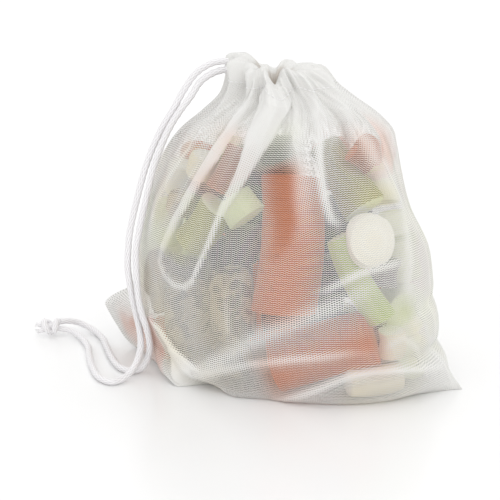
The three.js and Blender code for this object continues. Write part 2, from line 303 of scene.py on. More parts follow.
rng = np.random.default_rng(5)
knot_parts = []
for route in (turned(-150, 250, 18, 0.0021), turned(20, 430, -22, -0.0019)):
    line = smooth_route(route, CORD_STEP) - MIDDLE
    knot_parts.append(braided_tube(line, CORD_D / 2, (0.3, 0.3)))
for route, tail in ((ROUTE_A, TAILS[0]), (ROUTE_B, TAILS[1])):
    heart = tuple(KNOT * 0.5 + np.array(route[-1]) * 0.5)
    leaving = tuple(KNOT * 0.6 + np.array(tail) * 0.4)
    line = smooth_route([route[-1], heart, leaving, tail], CORD_STEP) - MIDDLE
    knot_parts.append(braided_tube(line, CORD_D / 2 * 0.96, (1.0, 0.8)))
    knot_parts += frayed(line[-1], line[-1] - line[-6], rng)
points, faces, crowns = joined(knot_parts)
points[:, 2] = np.maximum(points[:, 2], TABLE_GAP)
knot = mesh_piece("tied_knot", points, faces, cord_finish, crown=crowns)
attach(knot, "root")
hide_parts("knot")

for name, node, length in (("drawstring_a", "cord_a", 0.281), ("drawstring_b", "cord_b", 0.271)):
    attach(strands[name], "root")
    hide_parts(node)

# ---- cut vegetables
# The load: lengths of carrot and leek, unpeeled root chunks, peeled pale slices and rolled dark leaves,
# packed loosely. The back ones and most of the leaves aren't seen as pieces: they keep the white back of
# the net from showing between the others. The near-black leaves are partly painted shade: dark fill that
# stands for the shadow in the gaps between the pieces. Places are in millimetres in the part's frame.
ROUND, LONG = 44, 34
# each: end a, end b, the radius at each, and how far it is from its kind's first finish to the last
CARROTS = [            # fresh orange to old brown
    ((6.8, -21.5, 106), (3, -35, 41.5), 14.5, 15.8, 0),
    ((-1, -34.6, 14.6), (46, -40.5, 31), 14.2, 13.8, 0),
    ((-17, -20.5, 118.5), (-27.6, -25.2, 99.2), 7.4, 8, 0.8),
    ((35, -25.5, 118), (44, -23.5, 111), 4.6, 4.6, 0.8),
    ((41, -14, 115.3), (48, -9.5, 115.5), 7.2, 7, 0),
    ((-76, 28.5, 16), (-57, 3, 15), 3.2, 7.2, 0),
    ((-57, -8, 30), (-55.5, -9, 9), 4, 4.2, 0.3),
    ((-28, 36, 14), (10, 37, 14), 11.2, 11.5, 0),
    ((-23, 35, 68), (-8, 41, 34), 10.8, 11.3, 0),
    ((55.5, 8.5, 68), (62.5, 8.5, 33), 9.8, 10.2, 0.1),
    ((-40, 18, 112), (-42, 28, 88), 8.5, 9, 0.2),
    ((27, 22, 115), (34, 22, 93), 9, 9.5, 0.5),
]
LEEKS = [              # olive top, by way of green, to white shank
    ((23, -9, 119), (42, -26, 90.5), 7.6, 10.8, 0),
    ((29.5, -35.5, 79.5), (50.5, -42, 40), 6.6, 7.2, 0.48),
    ((63.6, -30.5, 38.5), (61, -5, 37), 10.8, 11.4, 1),
    ((69.5, -25, 14.5), (62.5, -13, 13), 11, 11, 1),
    ((-42.5, -15.5, 71.5), (-29.5, -22.5, 92), 9.4, 8.8, 0.05),
    ((-21, -25.8, 96.5), (-14, -30.2, 87), 8.6, 9.4, 0.8),
    ((-56, 20, 66), (-60, 22, 34), 8.6, 9, 0.9),
    ((-38, 32, 78), (-41, 37, 42), 9.4, 9.8, 0.7),
    ((19, 30.5, 83), (13, 35, 49), 10, 10.8, 0.35),
    ((60, -14, 74), (64, -13, 53), 9, 9.4, 0.95),
    ((-26, 25, 113), (-17, 32, 91), 9.2, 9.5, 0.25),
    ((43.5, 12.2, 112.5), (50.5, 5.5, 90), 8.3, 8.7, 0.7),
    ((56, -19, 88), (58, -20, 77), 6.3, 6.3, 1),
    ((-53, 3, 88), (-57, 6, 66), 7, 7.2, 0.75),
]
ROOTS = [              # grey and mottled to tan
    ((-40, -6, 57), (-36.5, -8.5, 3), 14.2, 15.2, 0),
    ((-21.5, -26, 62), (-20, -27.5, 24), 11, 12, 0.1),
    ((-13, -29, 16), (-32, -22, 11), 9.5, 9.5, 0.2),
    ((-59, -4.5, 56), (-59.5, -5, 31.5), 4.4, 4.4, 0.4),
    ((-61, 5.5, 62), (-63, 6.5, 37), 5.2, 5.2, 0.2),
    ((-46, -13, 97), (-49.5, -11.5, 84), 6.3, 6.3, 0.7),
    ((-51, 20, 7), (-50.5, 20, 26), 8.2, 8.2, 0.3),
    ((35, 27, 3), (35, 27.5, 26), 11, 11, 0.3),
    ((56, 10, 3), (56, 10, 21), 9.5, 9.5, 0.6),
    ((39.5, 25, 66), (45.5, 23, 31), 9.8, 10, 0.5),
    ((1, 27.5, 115), (5, 31, 90), 9.2, 9.6, 0.1),
    ((8, 1, 56), (8, 1, 23), 12.6, 12.6, 0.3),
    ((-33, 10, 33), (-15, 10, 30), 8.6, 8.6, 0.3),
]
SLICES = [
    ((45.2, -41.6, 78.9), (43, -36.6, 76.4), 12.3, 12.1, 0),
    ((-34.5, -15.3, 115), (-37.5, -12, 104), 6.6, 7, 0.9),
    ((34, -45.5, 9.5), (60.5, -38.5, 10.5), 7, 7, 0.8),
    ((55, -40, 34), (55.5, -38, 20.5), 6.3, 6.5, 0.9),
    ((53, -3, 104), (54.5, -9, 90), 7, 7, 0.2),
    ((-47.5, 6, 107), (-50.5, 11, 92), 6.8, 6.8, 0.3),
]
LEAVES_AND_SHADE = [             # near black and partly painted shade, by way of green, to purple
    ((0.4, -19.5, 125), (0.3, -20.8, 111), 7.4, 7.6, 0.4),
    ((-7, 6, 106), (-6, 7, 72), 11.5, 11.5, 0),
    ((15.5, 5, 98), (16, 5.5, 70), 10.5, 10.5, 0),
    ((-32.5, 1, 98), (-36, 3.5, 72), 10.2, 10.4, 0),
    ((34, 2, 92), (36, -2, 68), 8.5, 8.5, 0),
    ((-17, -17.5, 80), (-18, -18.5, 63), 9.4, 9.4, 0),
    ((31, -11, 68.3), (31, -12, 44), 9.2, 9.2, 0),
    ((27.5, 5, 42), (27, 6, 12), 6.6, 6.6, 0),
    ((27.3, -27.5, 68), (27.5, -27.5, 41), 6.2, 6.2, 0),
    ((54, -29, 66), (52, -29, 54), 7.2, 7.2, 1),
    ((-4.5, -11.5, 68), (-5.5, -12.5, 38), 4.6, 4.8, 0),
    ((-18.5, 0.5, 71), (-18.5, 0.5, 44), 6.6, 6.6, 0),
    ((-29.5, -5, 71), (-29.5, -5, 55), 5.2, 5.2, 0),
    ((25.5, -10, 93), (25, -11.5, 69), 6, 6, 0),
    ((44.5, 14.5, 85), (46, 14.5, 71), 6.5, 6.5, 0),
    ((-11, 20, 113), (-9, 21, 97), 5, 5, 0.3),
    ((-53, -10, 60), (-34, -20.5, 59), 5.2, 5.4, 0),
    ((-7, -18, 32), (20, -18, 35), 6.2, 6.2, 0),
    ((-10, 36, 85), (0, 36, 83), 6, 6, 0.4),
]
# each finish: its darkest, its lightest and its marks
CARROT_SKINS = [((0.46, 0.115, 0.028), (0.60, 0.18, 0.05), (0.30, 0.07, 0.02)),
                ((0.20, 0.085, 0.04), (0.28, 0.13, 0.07), (0.11, 0.045, 0.02))]
LEEK_SKINS = [((0.20, 0.185, 0.025), (0.30, 0.28, 0.045), (0.15, 0.14, 0.02)),
              ((0.42, 0.52, 0.14), (0.55, 0.63, 0.21), (0.36, 0.46, 0.12)),
              ((0.88, 0.90, 0.68), (0.93, 0.93, 0.76), (0.80, 0.84, 0.58))]
ROOT_SKINS = [((0.22, 0.185, 0.11), (0.35, 0.30, 0.19), (0.06, 0.05, 0.035)),
              ((0.42, 0.31, 0.16), (0.55, 0.43, 0.25), (0.18, 0.12, 0.06))]
PALE_FLESH = [((0.93, 0.90, 0.80), (0.95, 0.93, 0.85), (0.88, 0.84, 0.70)),
              ((0.84, 0.74, 0.50), (0.88, 0.80, 0.58), (0.72, 0.60, 0.36))]
# the first, near-black finish is partly painted shade in the gaps between the pieces
LEAF_AND_SHADE_SKINS = [((0.03, 0.026, 0.024), (0.06, 0.052, 0.045), (0.02, 0.017, 0.016)),
              ((0.10, 0.108, 0.075), (0.17, 0.18, 0.125), (0.07, 0.074, 0.055)),
              ((0.20, 0.17, 0.19), (0.30, 0.26, 0.28), (0.12, 0.10, 0.11))]


def cut_length(a, b, ra, rb, section, lumpy, ends, rng):
    """A vegetable cut at both ends: points, faces and, at each point, its angle, the way along it in
    millimetres, how far it is from the middle, and whether it is on a cut end. ends is how squarely it is
    cut: the power of the curve that it narrows along."""
    a, b = np.array(a, float), np.array(b, float)
    length = np.linalg.norm(b - a)
    ahead = (b - a) / length
    side = np.cross(ahead, (0.31, 0.22, 0.92) if abs(ahead[2]) < 0.9 else (1, 0, 0))
    side /= np.linalg.norm(side)
    up = np.cross(ahead, side)
    angle = np.linspace(0, 2 * np.pi, ROUND, endpoint=False)
    bow = rng.normal(size=2)
    lumps = rng.normal(size=(4, 3))
    rows = [(0, keep, 1) for keep in (0, 0.25, 0.5, 0.72, 0.88, 0.965)]
    rows += [(f, 1, 0) for f in 0.5 - 0.5 * np.cos(np.pi * np.linspace(0.06, 0.94, LONG))]
    rows += [(1, keep, 1) for keep in (0.965, 0.88, 0.72, 0.5, 0.25, 0)]
    points, turn, way, radius, cut = [], [], [], [], []
    for f, keep, end in rows:
        narrow = (1 - abs(1.98 * f - 0.99) ** ends) ** (1 / ends)
        r = (ra + (rb - ra) * f) * narrow * section(angle)
        for k, (size, phase, speed) in enumerate(lumps):
            r = r * (1 + lumpy * size * np.cos((k + 2) * angle + phase * 3 + 2.5 * speed * f))
        r = r * keep
        centre = a + ahead * length * f + (side * bow[0] + up * bow[1]) * math.sin(math.pi * f)
        dome = 0.6 * (1 - keep**2) * end * (-1 if f < 0.5 else 1)
        points.append(centre + ahead * dome + r[:, None] * (
            np.cos(angle)[:, None] * side + np.sin(angle)[:, None] * up))
        turn.append(angle / (2 * np.pi))
        way.append(np.full(ROUND, f * length))
        radius.append(np.full(ROUND, keep))
        cut.append(np.full(ROUND, end))
    values = [np.concatenate(v).astype(float) for v in (turn, way, radius, cut)]
    return (np.concatenate(points), round_faces(len(rows), ROUND), *values)


LOAD_POINTS, LOAD_FACES, LOAD_COLOURS = [], [], []   # the whole load, for what shows through the net's yarn


def vegetables(name, pieces, section, lumpy, ends, seed, skins, material):
    """One joined object for all the pieces of a kind."""
    rng = np.random.default_rng(seed)
    parts = []
    stops = np.linspace(0, 1, len(skins))
    for a, b, ra, rb, tone in pieces:
        p, f, turn, way, radius, cut = cut_length(a, b, ra, rb, section, lumpy, ends, rng)
        parts.append((p * MM, f, turn, way + 500 * len(parts), radius, cut, np.full(len(p), tone)))
        first = sum(len(q) for q in LOAD_POINTS)
        LOAD_POINTS.append(p * MM)
        LOAD_FACES.extend(tuple(first + k for k in face) for face in f)
        plain = [np.interp(tone, stops, [(skin[0][k] + skin[1][k]) / 2 for skin in skins])
                 for k in range(3)]
        LOAD_COLOURS.extend([plain] * len(f))
    points, faces, turn, way, radius, cut, tone = joined(parts)
    piece = mesh_piece(name, points, faces, material, turn=turn, way=way, radius=radius, cut=cut, tone=tone)
    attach(piece, "root")
    return piece


def flesh(name, skins, outer, core, core_at, rings, streak, speckle):
    """A vegetable's finish: skin with long streaks and small marks, by its piece's tone, and cut ends with
    a core and rings. streak is how often the streaks repeat round it and along it; speckle is where the
    marks begin and how strong they are."""
    material, tree, shader = new_material(name, 0.5)
    turn, way, radius, cut, tone = (value_at(tree, k) for k in ("turn", "way", "radius", "cut", "tone"))
    long = add(tree, "CombineXYZ", {0: math_of(tree, "MULTIPLY", turn, streak[0]),
                                    1: math_of(tree, "MULTIPLY", way, streak[1]), 2: tone})
    streaks = ranged(tree, noise(tree, long.outputs[0], 1, 4, 0.6), 0.3, 0.7)
    place = add(tree, "TexCoord").outputs["Object"]
    spot = ranged(tree, noise(tree, place, 150, 5), speckle[0], speckle[0] + 0.1, 0, speckle[1])
    outside = None
    for k, skin in enumerate(skins):
        this = mixed(tree, spot, mixed(tree, streaks, skin[0], skin[1]), skin[2])
        if outside is None:
            outside = this
        else:
            share = ranged(tree, tone, (k - 1) / (len(skins) - 1), k / (len(skins) - 1))
            outside = mixed(tree, share, outside, this)
    ring = math_of(tree, "SINE", math_of(tree, "MULTIPLY", radius, rings[0]))
    ring = ranged(tree, ring, -1, 1, 0, rings[1])
    middle = ranged(tree, radius, core_at - 0.06, core_at + 0.06)
    inside = mixed(tree, ring, mixed(tree, middle, core, outer), skins[-1][2])
    dressed(tree, shader, mixed(tree, cut, outside, inside), streaks, 0.4, 0.0006)
    return material


ringed = lambda angle: 1 + 0.02 * np.cos(3 * angle)
oval = lambda angle: 1 - 0.05 * np.cos(2 * angle)
chunky = lambda angle: (np.abs(np.cos(angle)) ** 2.4 + np.abs(np.sin(angle)) ** 2.4) ** (-1 / 2.4)
curled = lambda angle: 1 + 0.10 * np.sin(2 * angle + 0.6) + 0.06 * np.sin(5 * angle)

vegetables("carrot_lengths", CARROTS, ringed, 0.012, 60, 3, CARROT_SKINS, flesh(
    "carrot_flesh", CARROT_SKINS, (0.62, 0.18, 0.05), (0.68, 0.28, 0.08), 0.42, (44, 0.15), (3, 0.5),
    (0.62, 0.5)))
vegetables("leek_lengths", LEEKS, oval, 0.012, 22, 4, LEEK_SKINS, flesh(
    "leek_layers", LEEK_SKINS, (0.84, 0.88, 0.62), (0.82, 0.85, 0.52), 0.5, (40, 0.3), (26, 0.03),
    (0.6, 0.5)))
vegetables("root_pieces", ROOTS, chunky, 0.03, 3.2, 6, ROOT_SKINS, flesh(
    "root_skin", ROOT_SKINS, (0.40, 0.34, 0.22), (0.34, 0.28, 0.17), 0.55, (30, 0.1), (4, 0.05),
    (0.46, 0.9)))
vegetables("pale_slices", SLICES, oval, 0.015, 16, 8, PALE_FLESH, flesh(
    "pale_flesh", PALE_FLESH, (0.95, 0.93, 0.84), (0.94, 0.91, 0.80), 0.5, (9, 0.1), (5, 0.1), (0.6, 0.3)))
# the near-black rolls are partly painted shade: dark fill for the shadow in the gaps
vegetables("leaf_rolls_and_shade", LEAVES_AND_SHADE, curled, 0.012, 60, 7, LEAF_AND_SHADE_SKINS, flesh(
    "dark_leaf_and_shade", LEAF_AND_SHADE_SKINS, (0.16, 0.17, 0.10), (0.20, 0.22, 0.13), 0.5, (44, 0.3), (30, 0.03),
    (0.6, 0.4)))

# ---- net
# A flat square-cornered bag of fine warp-knit polyester net, pushed out by its load below and drawn
# together above. It is one cloth, made here as a front and a back that meet at the side seams.
# All of this section is in millimetres; u runs once round from the right seam by way of the front.
AROUND = 400.0         # width of the cloth, once round the bag
LEVELS = np.array([    # height, centre x and y, half length, half depth, turn in degrees
    (0, 9, -1, 70, 46, -20),
    (4, 9.5, -1, 75, 49, -21),
    (12, 9, 0, 77.5, 50.5, -22),
    (22, 7.5, 0, 78, 51, -22),
    (36, 5.5, 0, 78, 51, -21),
    (52, 4.5, 0, 77, 50, -20),
    (70, 4, 0, 74, 48, -18),
    (90, 1.5, 0, 66, 44, -15),
    (106, 2, 0, 59.5, 40, -12),
    (118, 4, 0, 54.5, 36.5, -10),
    (126, 6, 0, 49.5, 33, -8),
    (134, 7, 0, 40, 29, -6),
    (141, 6.5, 0, 31, 25, -3),
    (148, 3.5, 0, 25, 22, 0),
    (156, 0.5, 0, 21.5, 20, 0),
], float)
TOP = len(LEVELS) - 1
SQUARENESS = 2.25
SHOULDER_Z, RIM_Z = 134.0, 156.0
RIM = np.array((155.5, 155, 151.5, 157, 161.5, 156, 149.5, 152.5))   # at every 45 degrees from +X
RIM_PUFFS = [          # angle, half width, rise
    (73, 11, 4), (104, 9, 1.5), (250, 9, 4.5), (269, 5, -2), (290, 11, 5),
]
PLEAT_DEPTH, PLEAT_MEAN = 1.55, 3.3
LEFT_EAR = {"u": 0.5, "wide": 0.085, "tip": 22, "up": 16, "reach": (-26.2, 9.6)}
RIGHT_EAR = {"u": 0.0, "wide": 0.07, "up": 11, "reach": (17.7, -6.3)}
FRONT_CORNER = {"u": 0.365, "wide": 0.038, "up": 15, "reach": (-3, -11.5)}
# pleats that run down from the neck: half width in u, then level, u and height
PLEATS = [
    (0.026, [(14, 0.275, 5), (12.3, 0.275, 7), (9.9, 0.283, 5.5), (7.7, 0.293, 3.2), (6.6, 0.302, 2),
             (5, 0.32, 0)]),
    (0.019, [(14, 0.34, 4.5), (11.2, 0.342, 4.5), (8.5, 0.33, 3), (7, 0.342, 2), (5.5, 0.37, 0)]),
    (0.019, [(14, 0.42, 5), (12.2, 0.41, 5), (9.1, 0.365, 3), (7.2, 0.38, 2), (5.8, 0.395, 0)]),
    (0.021, [(14, 0.5, 3.2), (11, 0.495, 3.5), (8, 0.48, 2), (5.5, 0.46, 0)]),
    (0.021, [(14, 0.575, 4.5), (11, 0.57, 4), (8, 0.56, 2.5), (6, 0.55, 0)]),
    (0.021, [(14, 0.655, 5), (11, 0.655, 4.5), (8, 0.65, 2.5), (5.5, 0.65, 0)]),
    (0.021, [(14, 0.735, 5), (11, 0.735, 4.5), (8, 0.735, 3), (5, 0.735, 0)]),
    (0.021, [(14, 0.815, 5), (11, 0.815, 4.5), (8, 0.82, 2.5), (5.5, 0.825, 0)]),
    (0.021, [(14, 0.895, 4.5), (11, 0.9, 4), (8, 0.91, 2.5), (6, 0.92, 0)]),
    (0.021, [(14, 0.972, 4), (11, 0.975, 4), (8, 0.985, 2), (6.4, 0.99, 0)]),
    (0.022, [(14, 0.06, 4.5), (11.6, 0.1, 5), (8.75, 0.095, 3.2), (7.5, 0.06, 2.2), (6, 0.02, 0)]),
    (0.02, [(14, 0.165, 5), (12, 0.178, 5), (9.3, 0.19, 3.5), (7.6, 0.175, 2.2), (6.6, 0.15, 0)]),
]
# broad folds that are pulled across: half height in levels, then u, level and height
PULLS = [
    (0.44, [(0.08, 5.9, 0), (0.11, 5.55, 1.3), (0.16, 4.7, 1.85), (0.208, 4, 2), (0.245, 3.35, 2),
            (0.292, 2.35, 1.85), (0.36, 0.9, 1.2)]),
    (0.38, [(0.13, 3.5, 0), (0.17, 3.35, 1.2), (0.21, 3.05, 1.6), (0.253, 2.35, 1.6), (0.31, 1.3, 1.2),
            (0.36, 0.5, 0.6)]),
    (0.48, [(0.318, 1.5, 1.2), (0.333, 2.05, 2), (0.348, 2.65, 2.2), (0.367, 3.35, 2), (0.4, 3.95, 0)]),
    (0.4, [(0.05, 2.4, 0), (0.062, 2.4, 1.6), (0.103, 2.65, 2.6), (0.13, 2.65, 2.6), (0.158, 2.3, 2.4),
           (0.19, 1.5, 2), (0.225, 0.2, 1)]),
]
# swellings where the load pushes: u, height, half width in u, half height, push
LOBES = [(0.01, 10, 0.11, 6, 6), (0, 33, 0.12, 8, 1.5), (0, 21, 0.12, 3.5, -3.2), (0, 44, 0.1, 4, -2),
         (0.275, 0, 0.03, 6, 3), (0.335, 0, 0.05, 5, -8)]
# laps, where a fold lies flat over the cloth beside it: level, u of its left and right edge, how proud
# it stands and how many more layers of net it adds
LAPS = [
    [(13.98, 0.266, 0.246, 1.2, 4), (13.4, 0.29, 0.226, 2.6, 5), (12.55, 0.319, 0.231, 3.2, 5),
     (11.7, 0.313, 0.246, 3, 5), (10.6, 0.297, 0.254, 2.5, 4.5), (9.6, 0.286, 0.259, 2, 4),
     (8.9, 0.283, 0.263, 1.7, 3.2), (8.3, 0.283, 0.268, 1.4, 2.6), (7.8, 0.285, 0.273, 1.2, 2.2),
     (7.3, 0.289, 0.28, 1, 1.9), (6.9, 0.292, 0.286, 0.9, 1.9), (6.4, 0.298, 0.293, 0.8, 1.9),
     (5.75, 0.308, 0.303, 0.8, 1.9), (5.2, 0.315, 0.311, 0.5, 1.5)],
    [(13.6, 0.375, 0.325, 0.3, 2.5), (12.3, 0.375, 0.335, 0.6, 3), (11.2, 0.345, 0.329, 0.9, 3.2),
     (10.3, 0.336, 0.32, 1.1, 3.2), (8.85, 0.33, 0.314, 1.1, 3), (7.8, 0.336, 0.324, 1, 2.6),
     (7.1, 0.342, 0.331, 0.8, 2.2), (6.4, 0.355, 0.345, 0.7, 1.8), (6, 0.361, 0.352, 0.5, 1.4)],
    [(2.75, 0.346, 0.342, 0.3, 3), (1.9, 0.351, 0.312, 0.6, 4), (1.2, 0.354, 0.333, 0.6, 4),
     (0.55, 0.358, 0.35, 0.5, 4)],
]
# sharp creases: half width, then u, level, height and added layers at each point along it
CREASES = [
    (1.8, [(0.357, 6.05, 0.4, 0.8), (0.361, 5.6, 0.6, 1), (0.351, 5.3, 0.8, 1.1), (0.335, 5.05, 1, 1.3),
           (0.321, 5.05, 1, 1.3), (0.312, 5.27, 0.6, 1)]),
    (6.5, [(0.193, 13.5, 0.3, 1.6), (0.226, 11.8, 0.6, 1.6), (0.221, 10.4, 0.7, 1.5), (0.214, 9.3, 0.7, 1.3),
           (0.205, 8.5, 0.7, 1.1), (0.2, 7.85, 0.6, 0.9), (0.195, 7.1, 0.4, 0.5), (0.199, 6.4, 0, 0)]),
    (2.4, [(0.171, 13.4, 0.6, 1.5), (0.194, 11.4, 1, 2), (0.195, 10, 1.2, 2.5), (0.188, 8.9, 1.3, 2.6),
           (0.181, 8.2, 1.3, 2.4), (0.174, 7.58, 1.1, 2), (0.164, 7.03, 0.8, 1.4), (0.151, 6.83, 0, 0)]),
    (4, [(0.069, 13.8, 0.4, 1.5), (0.089, 12.85, 0.6, 1.5), (0.116, 11.6, 0.8, 1.5), (0.119, 10.1, 0.9, 1.5),
           (0.104, 8.8, 0.9, 1.4), (0.075, 7.85, 0.8, 1.2), (0.054, 7.33, 0.7, 1), (0.048, 6.75, 0.6, 1),
           (0.062, 6.28, 0.6, 1), (0.077, 5.4, 0.5, 0.9), (0.062, 4.9, 0, 0)]),
    (5, [(0.356, 0.5, 0.5, 1.5), (0.31, 1.73, 0.9, 1.2), (0.275, 2.88, 1, 0.9), (0.254, 3.48, 1, 0.9),
           (0.233, 3.95, 1, 0.9), (0.2, 4.48, 1, 1), (0.17, 4.9, 0.9, 0.9), (0.15, 5.15, 0.7, 0.7),
           (0.135, 5.4, 0.5, 0.5), (0.113, 5.68, 0, 0)]),
    (2, [(0.19, 5.25, 0, 0), (0.173, 5.38, 0.5, 0.9), (0.155, 5.62, 0.8, 1.4), (0.141, 5.78, 0.9, 1.6),
           (0.115, 5.9, 0.9, 1.6), (0.095, 5.95, 0.7, 1.2), (0.074, 5.98, 0, 0)]),
    (2.6, [(0.354, 0.45, 0.4, 1), (0.296, 1.9, 0.9, 1.2), (0.25, 2.78, 1.1, 1.2), (0.209, 3.18, 1.1, 1.2),
           (0.171, 3.38, 0.9, 1.1), (0.151, 3.48, 0.6, 0.7), (0.116, 3.45, 0, 0)]),
    (1.5, [(0.402, 4, 0, 0), (0.38, 3.7, 0.7, 2), (0.36, 3.43, 1.1, 3), (0.34, 2.65, 1.2, 3.2),
           (0.325, 2.2, 1.1, 3), (0.31, 1.9, 0.7, 2.4)]),
    (2, [(0.233, 0.28, 0.5, 1), (0.216, 0.9, 1, 1.4), (0.19, 1.68, 1.4, 1.6), (0.17, 2.25, 1.5, 1.6),
           (0.154, 2.58, 1.6, 1.6), (0.133, 2.75, 1.6, 1.6), (0.105, 2.73, 1.5, 1.5), (0.07, 2.53, 1.1, 1.3),
           (0.033, 2.3, 0.7, 1), (0.004, 2.18, 0, 0)]),
    (2.2, [(0.116, 3.45, 0, 0), (0.103, 3.68, 0.5, 0.9), (0.086, 3.83, 0.6, 1), (0.069, 3.48, 0.5, 0.9),
           (0.041, 2.53, 0, 0)]),
    (1.8, [(0.274, 5.25, 0, 0), (0.273, 4.6, 0.3, 0.5), (0.271, 3.95, 0.3, 0.5), (0.273, 3.35, 0, 0)]),
    # valleys between the gathers at the neck, which sink and add no layer
    (1.5, [(0.326, 14, -1.6, 0), (0.341, 13, -2.2, 0), (0.35, 12.1, -2.2, 0), (0.347, 11.2, -1.8, 0),
           (0.336, 10.3, -1.3, 0), (0.332, 9.4, -0.7, 0), (0.33, 8.8, 0, 0)]),
    (1.5, [(0.205, 14, -1.2, 0), (0.206, 13.2, -1.8, 0), (0.213, 12.2, -1.8, 0), (0.217, 10.9, -1, 0),
           (0.218, 10, 0, 0)]),
    (1.6, [(0.146, 14, -1.2, 0), (0.134, 13, -1.8, 0), (0.138, 11.7, -1.6, 0), (0.141, 10.2, -0.8, 0),
           (0.141, 9.4, 0, 0)]),
    (1.4, [(0.385, 14, -1, 0), (0.388, 12.8, -1.6, 0), (0.382, 11.4, -1.4, 0), (0.372, 10, -0.7, 0),
           (0.366, 9, 0, 0)]),
    (1.6, [(0.098, 14, -0.8, 0), (0.088, 13.2, -1.4, 0), (0.102, 12.2, -1.4, 0), (0.114, 10.9, -0.8, 0),
           (0.118, 10, 0, 0)]),
    # the back, where the folds run on in the same way
    (2.4, [(0.575, 13, 0.6, 1.5), (0.57, 10, 1.1, 2), (0.558, 7.8, 1, 1.6), (0.55, 6, 0, 0)]),
    (2.6, [(0.66, 13, 0.6, 1.5), (0.652, 10, 1.1, 2), (0.64, 8, 1, 1.6), (0.62, 6.2, 0, 0)]),
    (2.2, [(0.735, 13, 0.6, 1.5), (0.738, 10, 1.2, 2.2), (0.745, 7.4, 1, 1.6), (0.76, 5.2, 0, 0)]),
    (2.8, [(0.815, 13, 0.6, 1.5), (0.82, 10, 1, 1.8), (0.835, 7.6, 0.9, 1.4), (0.86, 5.6, 0, 0)]),
    (2.2, [(0.9, 13, 0.6, 1.5), (0.905, 10, 1, 2), (0.915, 7.8, 0.9, 1.5), (0.93, 6, 0, 0)]),
    (3.6, [(0.56, 1.6, 0.4, 1), (0.62, 2.7, 0.9, 1), (0.69, 3.7, 1, 1), (0.77, 4.7, 0.8, 0.8),
           (0.84, 5.3, 0, 0)]),
    (2.4, [(0.55, 0.9, 0.4, 1), (0.64, 1.8, 0.9, 1.1), (0.74, 2.4, 0.9, 1.1), (0.83, 2.7, 0, 0)]),
    (2.2, [(0.98, 1.2, 0.4, 1), (0.93, 2.6, 0.9, 1.2), (0.87, 3.6, 0.8, 1), (0.8, 4.1, 0, 0)]),
]
# places where the cloth lies doubled: u, level, half width in u, half height in levels, added layers
DOUBLED = [(0, 0.3, 0.075, 1.7, 3), (0.365, 0.2, 0.04, 1.3, 3), (0.5, 2.2, 0.045, 1.8, 1),
           (0.005, 3, 0.05, 1.6, 1.2), (0.06, 4.3, 0.03, 1.1, 0.8)]
# places where the load presses on the net, where the yarn is painted clearer with more of the load's colour,
# as painted light come through it: u and level along the place, then its half width and how clear it is
PRESSED_PLACES = [
    [(0.229, 8.3, 8, 0.5), (0.222, 7.5, 7, 0.5), (0.215, 6.98, 6, 0.5), (0.219, 6.53, 4.5, 0.4),
     (0.229, 6.1, 2.5, 0.2)],
    [(0.222, 2.2, 7, 0.2), (0.176, 3, 8, 0.3), (0.15, 3.5, 7, 0.25), (0.128, 3.8, 4, 0.12)],
    [(0.072, 4.9, 7, 0.6), (0.045, 3.8, 8, 0.6)],
    [(0.028, 2.9, 5, 0.5), (0.03, 2.1, 5, 0.5)],
]
HEM_LEVEL = 13.1       # the casing's lower line of stitches
SEAM_HALF = 3.5        # half width of the turned-in edges at a side seam
COLUMN, ROW = 0.95, 1.04       # from hole to hole, across and up the cloth
OPEN_SHARE = 0.6       # sets how large the holes of one layer are
HOLE_ACROSS, HOLE_UP = 0.68, 0.41   # a hole's half sizes, as shares of a column and a row
SHUT = 0.85            # how much of the light inside the scene the yarn stops


def between(a, b, c, d, f):
    """The smooth curve between b and c of four even steps."""
    return 0.5 * (2 * b + (c - a) * f + (2 * a - 5 * b + 4 * c - d) * f**2 + (3 * b - a - 3 * c + d) * f**3)


def apart(u, v):
    return np.abs((u - v + 0.5) % 1 - 0.5)


def near(u, v, wide):
    return np.clip(1 - apart(u, v) / wide, 0, 1)


def bell(x, s):
    return np.exp(-((x / s) ** 2))


def along(line, x):
    """The second and third numbers of a line of rows where the first is x, with no height past its ends."""
    rows = np.array(sorted(line), float)
    inside = (x > rows[0, 0]) & (x < rows[-1, 0])
    return np.interp(x, rows[:, 0], rows[:, 1]), np.where(inside, np.interp(x, rows[:, 0], rows[:, 2]), 0)


